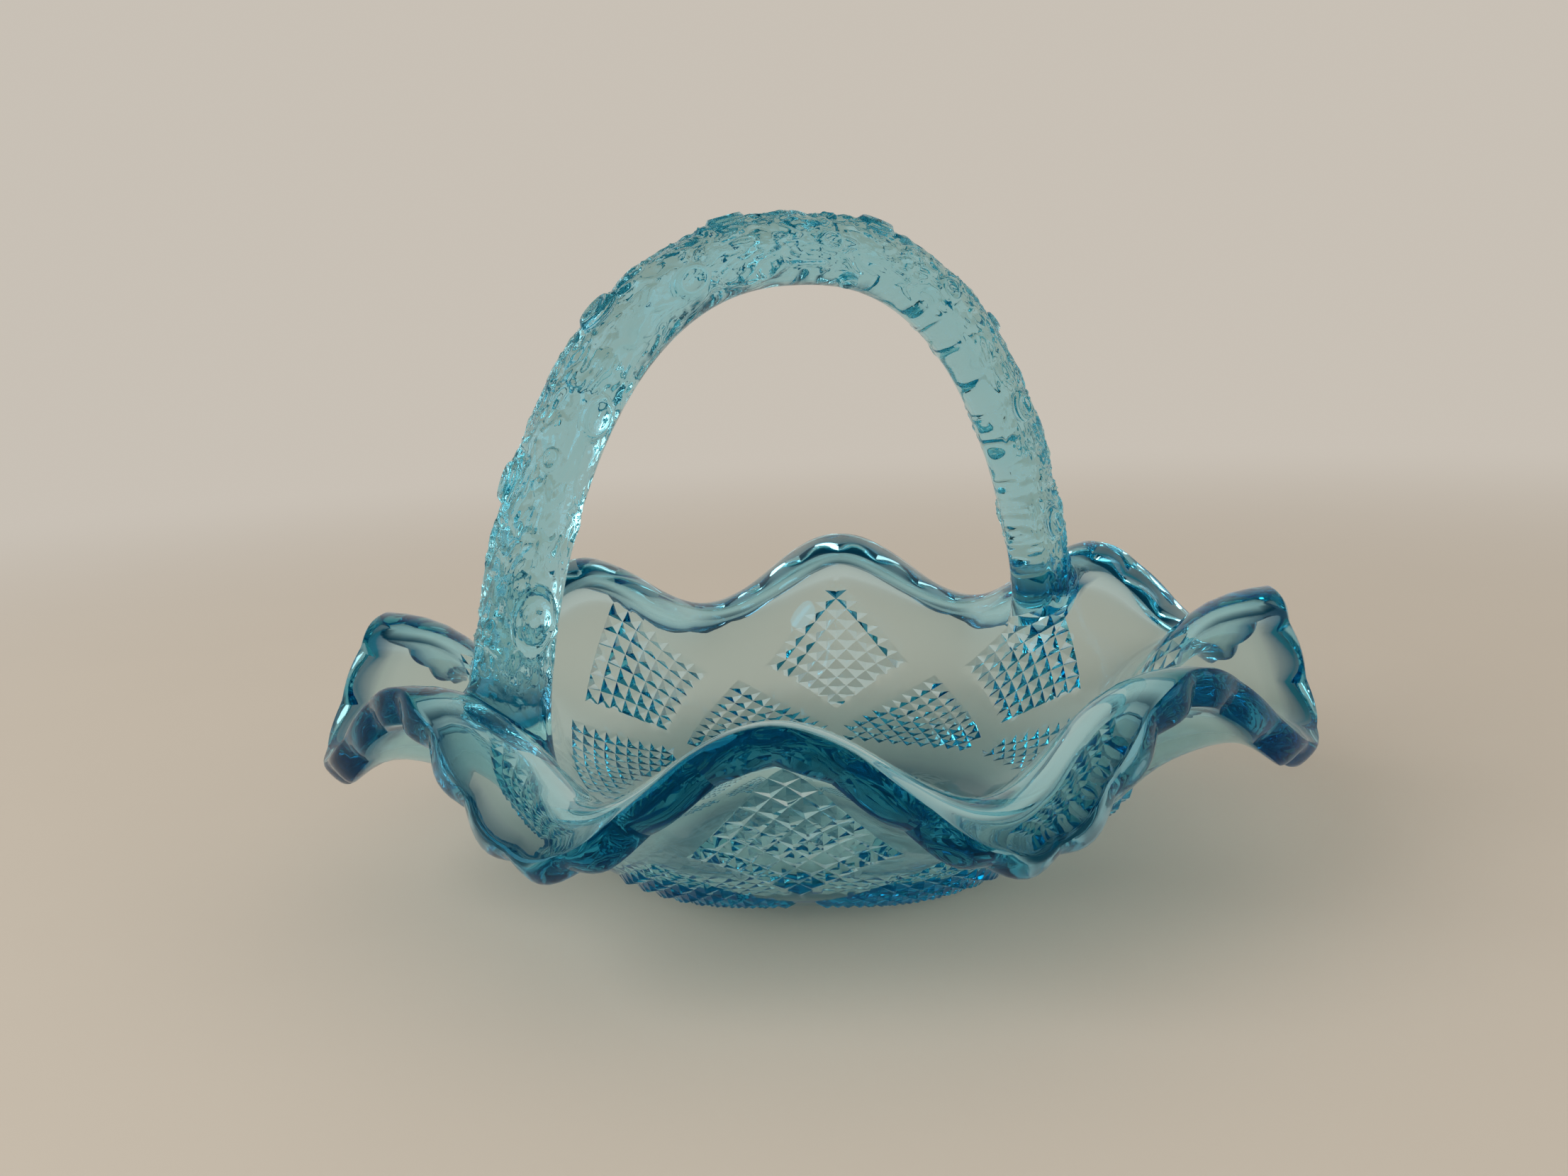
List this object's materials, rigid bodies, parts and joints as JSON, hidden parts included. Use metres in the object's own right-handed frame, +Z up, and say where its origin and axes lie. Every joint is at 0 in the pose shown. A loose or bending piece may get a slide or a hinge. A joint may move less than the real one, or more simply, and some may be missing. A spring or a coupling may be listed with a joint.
{
  "type": "glass basket",
  "caption": "Pressed glass bowl with a folded, scalloped rim, lozenges of diamond points outside and an arched bark handle with knots, for sweets, fruit or flowers.",
  "frame": {"origin": "centre of the foot, at the level of the table", "axes": "+Z up, X along the handle's span, Y through the open way under the handle"},
  "size_m": [0.2008, 0.2008, 0.1383],
  "materials": {
    "aqua_glass": "clear aqua blue pressed glass, fire-polished, darker where it is thick"
  },
  "bodies": {
    "root": {"basket": "aqua_glass"}
  },
  "joints": []
}
